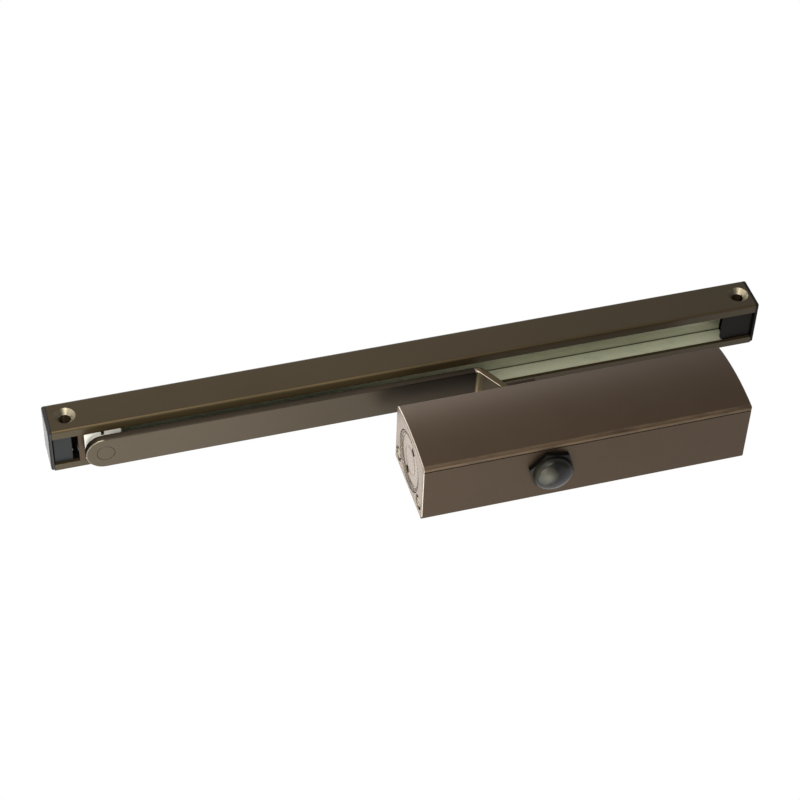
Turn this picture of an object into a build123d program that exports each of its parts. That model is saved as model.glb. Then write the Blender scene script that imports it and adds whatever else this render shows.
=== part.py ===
from build123d import *
from math import acos, cos, pi, radians, sin, tan
import os

# Slide arm door closer: a rack and pinion closer body, a cranked slide arm and a guide rail.
#
# Frame: +Z runs up along the spindle and +X along the door. The wall plane that the housing
# is screwed to is Y = 0, and its domed front faces -Y. The origin is the centre of the four
# tapped holes in the housing's back. Lengths are in millimetres, angles in degrees.

# Housing casting
body_length = 227.0
body_height = 60.0
side_depth = 46.8
crown_rise = 3.4
dome_edge_radius = 1.7
back_edge_radius = 0.8
seam_width = 0.7
seam_depth = 0.45
seam_drop = 3.4
end_edge_chamfer = 0.4
bore_radius = 18.0
bore_depth_from_back = 24.8
plug_bore_radius = 21.5
plug_bore_length = 12.0

# Tapped holes in the housing's back
fixing_pitch_x = 150.0
fixing_pitch_z = 44.0
fixing_hole_radius = 2.5
fixing_hole_depth = 11.0

# Spindle, pinion and rack
spindle_from_end = 88.0
spindle_depth_from_back = 25.5
journal_radius = 8.0
gear_module = 1.5
pinion_teeth = 12
pressure_angle = 25.0
tooth_backlash = 0.30
pinion_half_length = 15.2
pinion_dedendum = 1.25
rack_half_width = 14.2
opening_turn = 180.0
spindle_square = 11.2
square_fit = 0.05
square_corner_chamfer = 0.6
square_end_drop = 0.3
drive_end_rise = 6.0
free_end_reach = 4.0
running_fit = 0.05

# Spindle bearings, nuts and seals
bearing_bore_radius = 13.0
bearing_length = 9.0
bearing_lip = 0.9
bearing_relief = 0.8
bearing_relief_slope = 0.4
bearing_nut_length = 2.8
nut_across_flats = 28.0
nut_proud = 3.2
nut_corner_reach = 1.24
nut_corner_drop = 1.2
nut_face_inset = 0.3
nut_turn = 47.0
nut_inner_radius = 8.6
nut_recess_radius = 11.0
nut_recess_depth = 1.4
seal_groove_radius = 10.4
seal_thickness = 1.4
seal_lip_width = 0.9
seal_lip_height = 0.5
fit_gap = 0.05

# Spindle cap
cap_radius = 13.4
cap_height = 7.6
cap_crown = 4.4
cap_shoulder_radius = 4.5
cap_wall = 1.5
cap_spigot_length = 1.3
cap_spigot_wall = 1.3
cap_rim_height = 0.7
cap_rim_chamfer = 0.3

# Piston, check valve and spring
piston_head_length = 15.0
slot_clearance = 1.5
window_clearance = 0.8
piston_ring_width = 3.0
piston_ring_depth = 1.6
ring_running_fit = 0.03
check_valve_radius = 4.0
check_valve_length = 12.0
check_valve_bore = 1.0
check_valve_set_back = 0.5
check_valve_slot = 1.0
check_valve_chamfer = 0.4
check_valve_nose = 2.0
seat_thickness = 3.0
seat_boss_radius = 11.4
seat_boss_length = 6.0
seat_boss_chamfer = 1.0
seat_edge_gap = 0.4
spring_wire_radius = 2.0
spring_mean_radius = 14.0
spring_turns = 8
spring_end_gap = 0.1

# End plugs
plug_flush_drop = 0.4
plug_nose_length = 6.0
plug_groove_width = 2.6
plug_groove_depth = 1.8
plug_chamfer = 0.8
spanner_hole_radius = 2.9
spanner_hole_depth = 4.0
spanner_pitch_radius = 13.8
spanner_turn = 68.0
plug_dish_radius = 17.5
plug_dish_depth = 0.5

# Speed valves in the left end
valve_from_edge = 7.2
valve_depth_from_back = 9.0
valve_recess_radius = 5.5
valve_recess_depth = 2.4
valve_head_radius = 3.4
valve_head_length = 1.8
valve_stem_radius = 2.6
valve_stem_length = 19.0
valve_tip_length = 3.5
valve_tip_radius = 0.6
valve_groove_start = 3.0
valve_groove_width = 1.6
valve_groove_depth = 0.8
valve_head_chamfer = 0.3
valve_head_drop = 0.3
valve_hole_spare = 1.5
valve_slot_width = 1.1
valve_slot_depth = 0.9

# Slide arm
arm_width = 25.0
arm_thickness = 5.0
arm_offset = 19.8
arm_bend_angle = 60.0
arm_bend_from_spindle = 23.2
arm_inner_bend_radius = 3.0
arm_edge_radius = 0.8
hub_corner_radius = 1.0
hub_reach = 11.8
arm_end_beyond_pin = 0.6
arm_reach = 277.8
pin_head_radius = 6.0
pin_head_depth = 3.4
pin_radius = 4.5
pin_depth_in_block = 12.0
pin_head_chamfer = 0.3
pin_end_chamfer = 0.8
pin_end_space = 1.0
washer_side_gap = 0.55
washer_radius = 9.0
screw_radius = 3.0
screw_depth = 14.0
screw_end_space = 3.0
screw_chamfer = 0.6
washer_hole_gap = 0.2
screw_head_radius = 5.0
screw_head_height = 4.2
screw_socket_flats = 5.0
screw_socket_depth = 2.6
washer_plate_radius = 6.8
washer_plate_thickness = 1.6

# Guide rail
rail_length = 497.5
rail_width = 35.7
rail_height = 26.4
rail_wall = 3.7
rail_corner_radius = 1.8
rail_back_edge_radius = 0.3
front_lip = 7.0
back_lip = 5.4
lip_thickness = 2.6
channel_height = 12.9
channel_relief = 0.7
inside_corner_radius = 0.6
web_thickness = 2.2
rail_roof = 2.4
rail_above_arm = 3.95
left_hole_inset = 13.5
right_hole_inset = 10.8
rail_hole_height = 13.6
rail_hole_radius = 3.2
countersink_radius = 7.3
countersink_throat = 4.0
countersink_depth = 3.5
cap_plate_thickness = 2.2
cap_tongue_length = 8.0
cap_edge_radius = 1.5
cap_tongue_side_gap = 1.0

# Pieces inside the rail
block_length = 24.4
block_side_clearance = 0.4
block_gap = 0.35
block_notch_width = 2.0
block_notch_depth = 3.4
block_notch_height = 2.6
block_corner_radius = 2.0
block_edge_radius = 0.6
block_proud = 0.2
stop_length = 3.7
stop_gap = 4.2
seat_fit = 0.05
left_fixing_neck = 11.8
right_fixing_neck = 22.4
right_fixing_set_back = 8.5
fixing_neck_drop = 2.0
fixing_corner_radius = 0.7
fixing_notch = 2.0
fixing_step_from_end = 7.0
fixing_step = 0.4
fixing_cap_gap = 1.0
right_fixing_corner = 4.5
left_fixing_corner = 0.8

# Places worked out from the sizes above
end_x = body_length / 2
top_z = body_height / 2
bore_y = -bore_depth_from_back
valve_height = top_z - valve_from_edge
spindle_x = -end_x + spindle_from_end
spindle_y = -spindle_depth_from_back
pitch_radius = gear_module * pinion_teeth / 2
tip_radius = pitch_radius + gear_module
root_radius = pitch_radius - pinion_dedendum * gear_module
rack_travel = pitch_radius * radians(opening_turn)
piston_radius = bore_radius - running_fit
plug_inner_x = end_x - plug_bore_length - plug_nose_length
slot_left_x = spindle_x - rack_travel - tip_radius - slot_clearance
slot_right_x = spindle_x + tip_radius + slot_clearance
piston_left_x = slot_left_x - piston_head_length
piston_right_x = slot_right_x + piston_head_length
nut_inner_z = top_z - bearing_nut_length
nut_outer_z = top_z + nut_proud
hub_z = top_z + drive_end_rise
arm_z = hub_z + arm_offset
pin_x = spindle_x - arm_reach
rail_z = arm_z + arm_thickness + rail_above_arm
slot_width = rail_width - front_lip - back_lip
rail_back_y = spindle_y + slot_width / 2 + back_lip
rail_front_y = rail_back_y - rail_width
rail_mid_y = (rail_back_y + rail_front_y) / 2
block_left_x = pin_x - block_length / 2
stop_left_x = block_left_x - block_gap - stop_length
rail_left_x = stop_left_x - stop_gap - left_fixing_neck - fixing_cap_gap - cap_plate_thickness
rail_right_x = rail_left_x + rail_length
channel_z = rail_z + lip_thickness
web_z = channel_z + channel_height


def turned(profile):
    """Solid of revolution about Z from (radius, height) corners."""
    corners = Polyline(*profile, close=True)
    return revolve(make_face(Plane.XZ * corners), Axis.Z)


def along_x(shape, x, y, z):
    """Put a shape made about Z on an axis along +X."""
    return Pos(x, y, z) * Rot(0, 90, 0) * shape


def rod(radius, length):
    """Cylinder that starts at Z = 0 and runs up."""
    return Cylinder(radius, length, align=(Align.CENTER, Align.CENTER, Align.MIN))


def strip(x0, x1, y0, y1, z0, z1):
    """Straight length of rectangular bar between two corners."""
    section = Pos((y0 + y1) / 2, (z0 + z1) / 2) * Rectangle(abs(y1 - y0), abs(z1 - z0))
    return extrude(Plane.YZ.offset(x0) * section, x1 - x0)


def save(shape, node):
    export_step(shape, "parts/" + node + ".step")


def housing():
    """Casting with a domed front, a through bore, the spindle's cross bore and valve bores."""
    low, high = -top_z, top_z
    back = Line((0, low), (0, high))
    upper = Line((0, high), (-side_depth, high))
    dome = ThreePointArc((-side_depth, high), (-side_depth - crown_rise, 0), (-side_depth, low))
    lower = Line((-side_depth, low), (0, low))
    section = make_face(back + upper + dome + lower)
    front_corners = [v for v in section.vertices() if v.X < -side_depth / 2]
    section = fillet(front_corners, dome_edge_radius)
    back_corners = [v for v in section.vertices() if v.X > -back_edge_radius]
    section = fillet(back_corners, back_edge_radius)
    for side in (-1, 1):
        seam = Pos(-side_depth + seam_drop, side * top_z) * Rectangle(seam_width, 2 * seam_depth)
        section -= seam
    body = extrude(Plane.YZ.offset(-end_x) * section, body_length)
    ends = body.faces().sort_by(Axis.X)
    body = chamfer(ends[0].edges() + ends[-1].edges(), end_edge_chamfer)
    body -= along_x(rod(bore_radius, body_length), -end_x, bore_y, 0)
    for x in (-end_x, end_x - plug_bore_length):
        body -= along_x(rod(plug_bore_radius, plug_bore_length), x, bore_y, 0)
    body -= Pos(spindle_x, spindle_y, -top_z) * rod(bearing_bore_radius, body_height)
    for side in (-1, 1):
        place = (-end_x, -valve_depth_from_back, side * valve_height)
        hole_length = valve_recess_depth + valve_stem_length + valve_hole_spare
        body -= along_x(rod(valve_recess_radius, valve_recess_depth), *place)
        body -= along_x(rod(valve_stem_radius + running_fit, hole_length), *place)
    drill = Rot(90, 0, 0) * rod(fixing_hole_radius, fixing_hole_depth)
    for spot in GridLocations(fixing_pitch_x, fixing_pitch_z, 2, 2):
        body -= Pos(spot.position.X, 0, spot.position.Y) * drill
    return body


def end_plug():
    """Screwed plug with a sealing nose, a shallow dished face and two spanner holes, about Z."""
    radius = plug_bore_radius - fit_gap
    nose = bore_radius - fit_gap
    groove = nose - plug_groove_depth
    face = plug_bore_length - plug_flush_drop
    groove_mid = -plug_nose_length / 2
    plug = turned([
        (0, -plug_nose_length), (nose - plug_chamfer, -plug_nose_length),
        (nose, -plug_nose_length + plug_chamfer), (nose, groove_mid - plug_groove_width / 2),
        (groove, groove_mid - plug_groove_width / 2), (groove, groove_mid + plug_groove_width / 2),
        (nose, groove_mid + plug_groove_width / 2), (nose, fit_gap), (radius, fit_gap),
        (radius, face - plug_chamfer), (radius - plug_chamfer, face),
        (plug_dish_radius, face), (plug_dish_radius - plug_dish_depth, face - plug_dish_depth),
        (0, face - plug_dish_depth)])
    drill = rod(spanner_hole_radius, spanner_hole_depth)
    for spot in PolarLocations(spanner_pitch_radius, 2, start_angle=spanner_turn):
        plug -= spot * Pos(0, 0, face - spanner_hole_depth) * drill
    return plug


def plug_seal():
    """Rubber ring in the plug's groove, about Z, its middle at the groove's middle."""
    section_radius = (plug_groove_depth - 2 * fit_gap) / 2
    mean_radius = bore_radius - 2 * fit_gap - section_radius
    return Pos(0, 0, -plug_nose_length / 2) * Torus(mean_radius, section_radius)


def bearing():
    """Drawn-cup bearing sleeve with rolled lips, standing on Z = 0."""
    outer = bearing_bore_radius - fit_gap
    inner = journal_radius + running_fit
    relief = inner + bearing_relief
    slope = bearing_relief_slope
    top_lip = bearing_length - bearing_lip
    middle = bearing_length / 2
    return turned([
        (inner, 0), (outer, 0), (outer, bearing_length), (inner, bearing_length),
        (inner, top_lip), (relief, top_lip - slope), (relief, middle + slope), (inner, middle),
        (relief, middle - slope), (relief, bearing_lip + slope), (inner, bearing_lip)])


def bearing_nut():
    """Hexagon nut that closes the bearing bore, from its inner face at Z = 0."""
    total = bearing_nut_length + nut_proud
    flat_radius = nut_across_flats / 2
    hexagon = RegularPolygon(flat_radius, 6, major_radius=False)
    head = Pos(0, 0, bearing_nut_length + fit_gap) * extrude(hexagon, nut_proud - fit_gap)
    corner_radius = flat_radius * nut_corner_reach
    corner_cone = turned([
        (0, 0), (corner_radius, 0), (corner_radius, total - nut_corner_drop),
        (flat_radius - nut_face_inset, total), (0, total)])
    nut = (rod(bearing_bore_radius - fit_gap, bearing_nut_length + 2 * fit_gap) + head) & corner_cone
    nut -= rod(nut_inner_radius, total)
    nut -= Pos(0, 0, total - nut_recess_depth) * rod(nut_recess_radius, nut_recess_depth)
    nut -= rod(seal_groove_radius, seal_thickness + 2 * fit_gap)
    return nut


def shaft_seal():
    """Lip seal ring round the spindle, from Z = 0."""
    outer = seal_groove_radius - fit_gap
    inner = journal_radius + running_fit
    return turned([
        (inner, 0), (outer, 0), (outer, seal_thickness),
        (inner + seal_lip_width, seal_thickness), (inner, seal_thickness - seal_lip_height)])


def dome(radius, height, shoulder):
    """Solid dome on Z = 0 with a low crown and a round shoulder."""
    ball = (radius ** 2 + cap_crown ** 2) / (2 * cap_crown)
    middle = height - ball + (ball ** 2 - radius ** 2 / 4) ** 0.5
    outline = Polyline((0, height), (0, 0), (radius, 0), (radius, height - cap_crown))
    outline += ThreePointArc((radius, height - cap_crown), (radius / 2, middle), (0, height))
    half = make_face(outline)
    half = fillet([v for v in half.vertices() if v.X > radius / 2 and v.Y > 0], shoulder)
    return revolve(Plane.XZ * half, Axis.Z)


def spindle_cap():
    """Hollow plastic dome with a spigot that presses into the lower nut, pointing up Z."""
    shell = dome(cap_radius, cap_height, cap_shoulder_radius)
    shell -= dome(cap_radius - cap_wall, cap_height - cap_wall, cap_shoulder_radius - cap_wall)
    shell = Pos(0, 0, cap_rim_height) * shell
    inner = nut_recess_radius - fit_gap
    bore = inner - cap_spigot_wall
    rim = turned([
        (bore, -cap_spigot_length), (inner, -cap_spigot_length), (inner, 0),
        (cap_radius - cap_rim_chamfer, 0), (cap_radius, cap_rim_chamfer),
        (cap_radius, cap_rim_height), (bore, cap_rim_height + cap_wall / 2)])
    return shell + rim


def involute(angle):
    return tan(angle) - angle


def tooth_half_angle(radius):
    """Half the angle that a pinion tooth takes up at a radius, in radians."""
    base = pitch_radius * cos(radians(pressure_angle))
    half_at_pitch = pi / (2 * pinion_teeth) - tooth_backlash / (4 * pitch_radius)
    return half_at_pitch + involute(radians(pressure_angle)) - involute(acos(min(1, base / radius)))


def on_circle(radius, angle):
    return (radius * cos(angle), radius * sin(angle))


def pinion_face():
    """Toothed section: involute flanks, round tips and roots, a tooth centred on +Y."""
    base = pitch_radius * cos(radians(pressure_angle))
    start = max(base, root_radius)
    steps = [start + (tip_radius - start) * i / 4 for i in range(5)]
    pitch_angle = 2 * pi / pinion_teeth
    start_half = tooth_half_angle(start)
    edges = []
    for tooth in range(pinion_teeth):
        middle = pi / 2 + tooth * pitch_angle
        rise = [on_circle(r, middle - tooth_half_angle(r)) for r in steps]
        fall = [on_circle(r, middle + tooth_half_angle(r)) for r in reversed(steps)]
        foot_in = on_circle(root_radius, middle - start_half)
        foot_out = on_circle(root_radius, middle + start_half)
        next_foot = on_circle(root_radius, middle + pitch_angle - start_half)
        edges += [
            Line(foot_in, rise[0]), Spline(*rise),
            ThreePointArc(rise[-1], on_circle(tip_radius, middle), fall[0]),
            Spline(*fall), Line(fall[-1], foot_out),
            ThreePointArc(foot_out, on_circle(root_radius, middle + pitch_angle / 2), next_foot)]
    return make_face(Wire(edges))


def pinion_spindle():
    """Double-ended spindle: pinion in the middle, journals, and a square at each end."""
    shaft_top = hub_z
    free_square_z = -top_z
    free_end_z = -top_z - free_end_reach
    drive_top = hub_z + arm_thickness - square_end_drop
    teeth = extrude(pinion_face(), 2 * pinion_half_length)
    spindle = Pos(0, 0, -pinion_half_length) * teeth
    spindle += Pos(0, 0, free_square_z) * rod(journal_radius, -pinion_half_length - free_square_z)
    spindle += Pos(0, 0, pinion_half_length) * rod(journal_radius, shaft_top - pinion_half_length)
    square = chamfer(Rectangle(spindle_square, spindle_square).vertices(), square_corner_chamfer)
    spindle += Pos(0, 0, shaft_top) * extrude(square, drive_top - shaft_top)
    spindle += Pos(0, 0, free_end_z) * extrude(square, free_end_reach)
    spindle -= Pos(0, 0, drive_top - screw_depth) * rod(screw_radius + fit_gap, screw_depth)
    return Pos(spindle_x, spindle_y, 0) * spindle


def rack_piston():
    """Piston with a window for the pinion and a toothed rack on the window's back side."""
    length = piston_right_x - piston_left_x
    piston = along_x(rod(piston_radius, length), piston_left_x, bore_y, 0)
    root_y = spindle_y + pitch_radius + pinion_dedendum * gear_module
    rack_tip_y = spindle_y + pitch_radius - gear_module
    window_front_y = spindle_y - tip_radius - window_clearance
    piston -= strip(slot_left_x, slot_right_x, window_front_y, root_y, -piston_radius, piston_radius)
    slope = tan(radians(pressure_angle))
    pitch = pi * gear_module
    half_at_pitch = pitch / 4 - tooth_backlash / 4
    half_tip = half_at_pitch - gear_module * slope
    half_root = half_at_pitch + pinion_dedendum * gear_module * slope
    first = spindle_x + pitch / 2
    count = int((first + half_root - slot_left_x) / pitch)
    for i in range(count):
        x = first - i * pitch
        tooth = make_face(Polyline(
            (x - half_root, root_y), (x - half_tip, rack_tip_y),
            (x + half_tip, rack_tip_y), (x + half_root, root_y), close=True))
        piston += Pos(0, 0, -rack_half_width) * extrude(tooth, 2 * rack_half_width)
    for x in (piston_left_x + piston_head_length / 2, piston_right_x - piston_head_length / 2):
        ring = rod(piston_radius + 1, piston_ring_width)
        ring -= rod(piston_radius - piston_ring_depth, piston_ring_width)
        piston -= along_x(ring, x - piston_ring_width / 2, bore_y, 0)
    piston -= along_x(rod(check_valve_radius, piston_head_length), piston_left_x, bore_y, 0)
    return piston


def piston_rings():
    """Two slide rings, one in each groove of the piston."""
    outer = bore_radius - ring_running_fit
    inner = piston_radius - piston_ring_depth + fit_gap
    width = piston_ring_width - 2 * fit_gap
    ring = rod(outer, width) - rod(inner, width)
    left_x = piston_left_x + piston_head_length / 2 - width / 2
    right_x = piston_right_x - piston_head_length / 2 - width / 2
    return Compound(children=[along_x(ring, x, bore_y, 0) for x in (left_x, right_x)])


def check_valve():
    """Screwed valve cartridge in the piston's left head, with a slotted face."""
    outer = check_valve_radius - fit_gap
    valve = turned([
        (check_valve_bore, 0), (outer - check_valve_chamfer, 0), (outer, check_valve_chamfer),
        (outer, check_valve_length - check_valve_nose),
        (outer - check_valve_nose / 2, check_valve_length), (check_valve_bore, check_valve_length)])
    valve -= Pos(0, 0, check_valve_slot / 2) * Box(2 * outer, check_valve_slot, check_valve_slot)
    return along_x(valve, piston_left_x + check_valve_set_back, bore_y, 0)


def spring_seat():
    """Flanged seat that centres the spring on the piston's right head."""
    flange = piston_radius - seat_edge_gap
    top = seat_thickness + seat_boss_length
    seat = turned([
        (0, 0), (flange, 0), (flange, seat_thickness), (seat_boss_radius, seat_thickness),
        (seat_boss_radius, top - seat_boss_chamfer), (seat_boss_radius - seat_boss_chamfer, top),
        (0, top)])
    return along_x(seat, piston_right_x, bore_y, 0)


def closing_spring():
    """Coil spring between the seat on the piston and the right plug's nose."""
    start = piston_right_x + seat_thickness + spring_wire_radius + spring_end_gap
    end = plug_inner_x - spring_wire_radius - spring_end_gap
    length = end - start
    path = Helix(length / spring_turns, length, spring_mean_radius)
    section = Plane(path @ 0, z_dir=path % 0) * Circle(spring_wire_radius)
    return along_x(sweep(section, path=path), start, bore_y, 0)


def valve_screw(side):
    """Speed valve with a slotted head and a needle tip, in the left end of the housing."""
    stem = valve_stem_radius
    tip = valve_head_length + valve_stem_length
    groove = valve_head_length + valve_groove_start
    groove_end = groove + valve_groove_width
    core = stem - valve_groove_depth
    screw = turned([
        (0, 0), (valve_head_radius - valve_head_chamfer, 0), (valve_head_radius, valve_head_chamfer),
        (valve_head_radius, valve_head_length), (stem, valve_head_length), (stem, groove),
        (core, groove), (core, groove_end), (stem, groove_end),
        (stem, tip - valve_tip_length), (valve_tip_radius, tip), (0, tip)])
    screw -= Pos(0, 0, valve_slot_depth / 2) * Box(
        2 * valve_head_radius, valve_slot_width, valve_slot_depth)
    set_back = valve_recess_depth - valve_head_length - valve_head_drop
    return along_x(screw, -end_x + set_back, -valve_depth_from_back, side * valve_height)


def slide_arm():
    """Flat steel arm, cranked up from its hub, with round ends and eased edges."""
    bend_turn = radians(arm_bend_angle)
    bend_run = arm_offset / tan(bend_turn)
    thick_shift = arm_thickness * tan(bend_turn / 2)
    bend_x = spindle_x - arm_bend_from_spindle
    tip_x = pin_x - arm_width
    hub_x = spindle_x + arm_width
    corners = [
        (tip_x, arm_z), (bend_x, arm_z), (bend_x + bend_run, hub_z), (hub_x, hub_z),
        (hub_x, hub_z + arm_thickness), (bend_x + bend_run + thick_shift, hub_z + arm_thickness),
        (bend_x + thick_shift, arm_z + arm_thickness), (tip_x, arm_z + arm_thickness)]
    side = make_face(Polyline(*corners, close=True))
    inner = (corners[1], corners[5])
    outer = (corners[2], corners[6])
    outer_radius = arm_inner_bend_radius + arm_thickness
    for group, radius in ((inner, arm_inner_bend_radius), (outer, outer_radius)):
        chosen = [v for v in side.vertices()
                  if min(abs(v.X - x) + abs(v.Y - z) for x, z in group) < 0.001]
        side = fillet(chosen, radius)
    bar = extrude(Plane.XZ.offset(-spindle_y - arm_width) * side, 2 * arm_width)
    hub_end_x = spindle_x + hub_reach
    round_x = pin_x - arm_end_beyond_pin
    plan = Pos((round_x + hub_end_x) / 2, spindle_y) * Rectangle(hub_end_x - round_x, arm_width)
    plan = fillet(plan.vertices().sort_by(Axis.X)[-2:], hub_corner_radius)
    plan += Pos(round_x, spindle_y) * Circle(arm_width / 2)
    height = arm_z + arm_thickness - hub_z
    arm = bar & Pos(0, 0, hub_z - height) * extrude(plan, 3 * height)
    upright = arm.edges().filter_by(Axis.Z)
    bend_lines = [e for e in arm.edges().filter_by(Axis.Y) if e.center().X < spindle_x]
    eased = [e for e in arm.edges() if e not in upright and e not in bend_lines]
    arm = fillet(eased, arm_edge_radius)
    square = Rectangle(spindle_square + 2 * square_fit, spindle_square + 2 * square_fit)
    arm -= Pos(spindle_x, spindle_y, hub_z) * extrude(square, arm_thickness)
    arm -= Pos(pin_x, spindle_y, arm_z) * rod(pin_radius + fit_gap, arm_thickness)
    arm -= Pos(pin_x, spindle_y, arm_z) * rod(pin_head_radius + fit_gap, pin_head_depth)
    return arm


def arm_screw():
    """Cap screw that holds the arm's hub on the spindle's square."""
    head_z = hub_z + arm_thickness + washer_plate_thickness
    shank = screw_depth - screw_end_space
    ease = screw_chamfer
    screw = turned([
        (0, -shank), (screw_radius - ease, -shank), (screw_radius, -shank + ease), (screw_radius, 0),
        (screw_head_radius, 0), (screw_head_radius, screw_head_height - ease),
        (screw_head_radius - ease, screw_head_height), (0, screw_head_height)])
    socket = RegularPolygon(screw_socket_flats / 2, 6, major_radius=False)
    screw -= Pos(0, 0, screw_head_height - screw_socket_depth) * extrude(socket, screw_socket_depth)
    return Pos(spindle_x, spindle_y, head_z) * screw


def arm_washer():
    """Plain washer between the arm's hub and the cap screw."""
    ring = rod(washer_plate_radius, washer_plate_thickness)
    ring -= rod(screw_radius + washer_hole_gap, washer_plate_thickness)
    return Pos(spindle_x, spindle_y, hub_z + arm_thickness) * ring


def arm_pivot_pin():
    """Stepped pin, flush in the arm's underside, that turns in the slide block."""
    shoulder = arm_thickness + rail_above_arm + pin_depth_in_block
    pin = turned([
        (0, 0), (pin_head_radius - pin_head_chamfer, 0), (pin_head_radius, pin_head_chamfer),
        (pin_head_radius, pin_head_depth), (pin_radius, pin_head_depth),
        (pin_radius, shoulder - pin_end_chamfer), (pin_radius - pin_end_chamfer, shoulder),
        (0, shoulder)])
    return Pos(pin_x, spindle_y, arm_z) * pin


def pivot_washer():
    """Spacer ring on the pin between the arm and the slide block."""
    height = rail_above_arm - washer_side_gap - fit_gap
    ring = rod(washer_radius, height) - rod(pin_radius + fit_gap, height)
    return Pos(pin_x, spindle_y, arm_z + arm_thickness + fit_gap) * ring


def slide_block():
    """Moulded slider: a wide part in the channel and a neck between the rail's lips."""
    clear = block_side_clearance
    right_x = block_left_x + block_length
    slot_low = rail_front_y + front_lip + clear
    slot_high = rail_back_y - back_lip - clear
    wide_low = rail_front_y + rail_wall + clear
    wide_high = rail_back_y - rail_wall - clear
    foot_z = rail_z - block_proud
    neck = strip(block_left_x, right_x, slot_low, slot_high, foot_z, channel_z + clear)
    neck = fillet(neck.edges().filter_by(Axis.Z), block_edge_radius)
    wide = strip(block_left_x, right_x, wide_low, wide_high, channel_z + clear, web_z - clear)
    block = fillet(wide.edges().filter_by(Axis.Z), block_corner_radius) + neck
    notch = Box(block_notch_width, 2 * block_notch_depth, 2 * block_notch_height)
    for side in (slot_low, slot_high):
        block -= Pos(pin_x, side, foot_z) * notch
    depth = pin_depth_in_block + pin_end_space
    block -= Pos(pin_x, spindle_y, foot_z) * rod(pin_radius + running_fit, depth)
    return block


def rail_section():
    """Extruded section in the YZ plane: lipped channel below, closed chamber above."""
    section = Pos(rail_mid_y, rail_z + rail_height / 2) * Rectangle(rail_width, rail_height)
    section = fillet(section.vertices().sort_by(Axis.X)[:2], rail_corner_radius)
    section = fillet(section.vertices().sort_by(Axis.X)[-2:], rail_back_edge_radius)
    channel_width = rail_width - 2 * rail_wall
    channel = RectangleRounded(channel_width, channel_height, inside_corner_radius)
    section -= Pos(rail_mid_y, channel_z + channel_height / 2) * channel
    relief = Rectangle(2 * channel_relief, channel_relief)
    for side in (-1, 1):
        section -= Pos(rail_mid_y + side * channel_width / 2, web_z - channel_relief / 2) * relief
    section -= Pos(spindle_y, rail_z) * Rectangle(slot_width, 3 * lip_thickness)
    chamber_z = web_z + web_thickness
    chamber_height = rail_z + rail_height - rail_roof - chamber_z
    chamber = RectangleRounded(channel_width, chamber_height, inside_corner_radius)
    section -= Pos(rail_mid_y, chamber_z + chamber_height / 2) * chamber
    return section


def rail_holes():
    """X places of the rail's two screw holes."""
    return (rail_left_x + left_hole_inset, rail_right_x - right_hole_inset)


def guide_rail():
    """Aluminium rail with two countersunk through holes."""
    length = rail_length - 2 * cap_plate_thickness
    rail = extrude(Plane.YZ.offset(rail_left_x + cap_plate_thickness) * rail_section(), length)
    cutter = turned([
        (0, 0), (countersink_radius, 0), (countersink_throat, countersink_depth),
        (countersink_throat, rail_width / 2), (rail_hole_radius, rail_width / 2),
        (rail_hole_radius, rail_width), (0, rail_width)])
    for x in rail_holes():
        rail -= Pos(x, rail_front_y, rail_z + rail_hole_height) * Rot(-90, 0, 0) * cutter
    return rail


def rail_end_cap(side):
    """Thin moulded cap with a tongue in the rail's chamber. Side is -1 left, 1 right."""
    plate = RectangleRounded(rail_width, rail_height, rail_corner_radius)
    place = Pos(rail_mid_y, rail_z + rail_height / 2)
    plate_x = rail_left_x if side < 0 else rail_right_x - cap_plate_thickness
    cap = extrude(Plane.YZ.offset(plate_x) * place * plate, cap_plate_thickness)
    edges = cap.faces().sort_by(Axis.X)[0 if side < 0 else -1].edges()
    cap = fillet(edges, cap_edge_radius)
    tongue_x = plate_x + cap_plate_thickness if side < 0 else plate_x - cap_tongue_length
    low_z = web_z + web_thickness + seat_fit
    high_z = rail_z + rail_height - rail_roof - seat_fit
    half = rail_width / 2 - rail_wall - cap_tongue_side_gap
    tongue = strip(tongue_x, tongue_x + cap_tongue_length,
                   rail_mid_y - half, rail_mid_y + half, low_z, high_z)
    return cap + tongue


def rail_fixing(side, neck_length, set_back, corner):
    """Filler that backs the rail at its screw hole and shows in the slot."""
    plate_x = rail_left_x + cap_plate_thickness if side < 0 else rail_right_x - cap_plate_thickness
    outer_x = plate_x - side * fixing_cap_gap
    neck_x = outer_x - side * neck_length
    wide_x = neck_x + side * set_back
    slot_low = rail_front_y + front_lip + seat_fit
    slot_high = rail_back_y - back_lip - seat_fit
    foot_z = rail_z + fixing_neck_drop
    neck = strip(min(neck_x, outer_x), max(neck_x, outer_x), slot_low, slot_high,
                 foot_z, channel_z + seat_fit)
    free_edges = neck.edges().filter_by(Axis.Z).sort_by(Axis.X)
    ends = free_edges[-2:] if side < 0 else free_edges[:2]
    neck = fillet(ends.sort_by(Axis.Y)[-1], corner)
    wide = strip(min(wide_x, outer_x), max(wide_x, outer_x),
                 rail_front_y + rail_wall + seat_fit, rail_back_y - rail_wall - seat_fit,
                 channel_z + seat_fit, web_z - channel_relief - seat_fit)
    filler = fillet(wide.edges().filter_by(Axis.X), fixing_corner_radius) + neck
    if set_back > 0:
        filler -= Pos(neck_x, slot_low, foot_z) * Box(
            2 * fixing_notch, 2 * fixing_notch, 3 * lip_thickness)
        step_x = neck_x + side * fixing_step_from_end
        filler -= strip(min(step_x, outer_x), max(step_x, outer_x),
                        slot_low, slot_high, foot_z, foot_z + fixing_step)
    hole_x = rail_holes()[0 if side < 0 else 1]
    drill = Rot(-90, 0, 0) * rod(countersink_throat, rail_width)
    return filler - Pos(hole_x, rail_front_y, rail_z + rail_hole_height) * drill


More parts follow.
